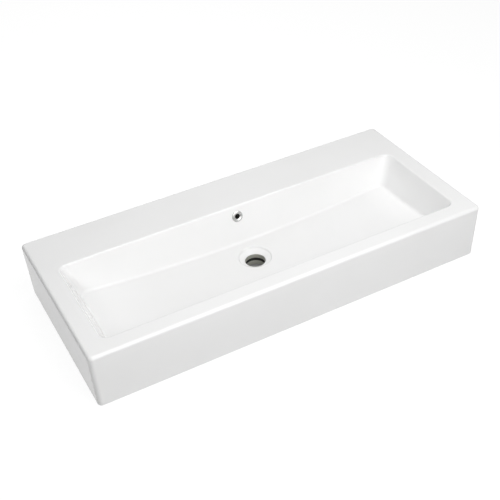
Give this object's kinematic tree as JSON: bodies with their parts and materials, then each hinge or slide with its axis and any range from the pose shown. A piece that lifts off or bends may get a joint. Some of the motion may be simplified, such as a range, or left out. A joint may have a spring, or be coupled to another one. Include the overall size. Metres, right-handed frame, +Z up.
{
  "type": "countertop basin",
  "caption": "Long rectangular glazed ceramic trough basin with a wide rear deck, sloped bowl walls, an open waste hole and a chromed overflow ring.",
  "frame": {"origin": "middle of the basin's footprint, on the surface it stands on", "axes": "+X along the basin to the right seen from the front, +Y back towards the wall, +Z up"},
  "size_m": [0.9996, 0.4498, 0.142],
  "materials": {
    "glazed_ceramic": "white glaze, glossy",
    "chromed_brass": "polished chrome plate",
    "black_rubber": "matt",
    "white_nylon": "moulded, satin"
  },
  "bodies": {
    "basin": {"basin_body": "glazed_ceramic"},
    "overflow_trim": {"overflow_ring": "chromed_brass", "overflow_gasket": "black_rubber", "overflow_collar": "white_nylon"}
  },
  "joints": [
    {"name": "overflow_trim_pull", "type": "slide", "parent": "basin", "child": "overflow_trim", "axis": [0, -0.963, 0.2696], "range_m": [0, 0.02]}
  ]
}
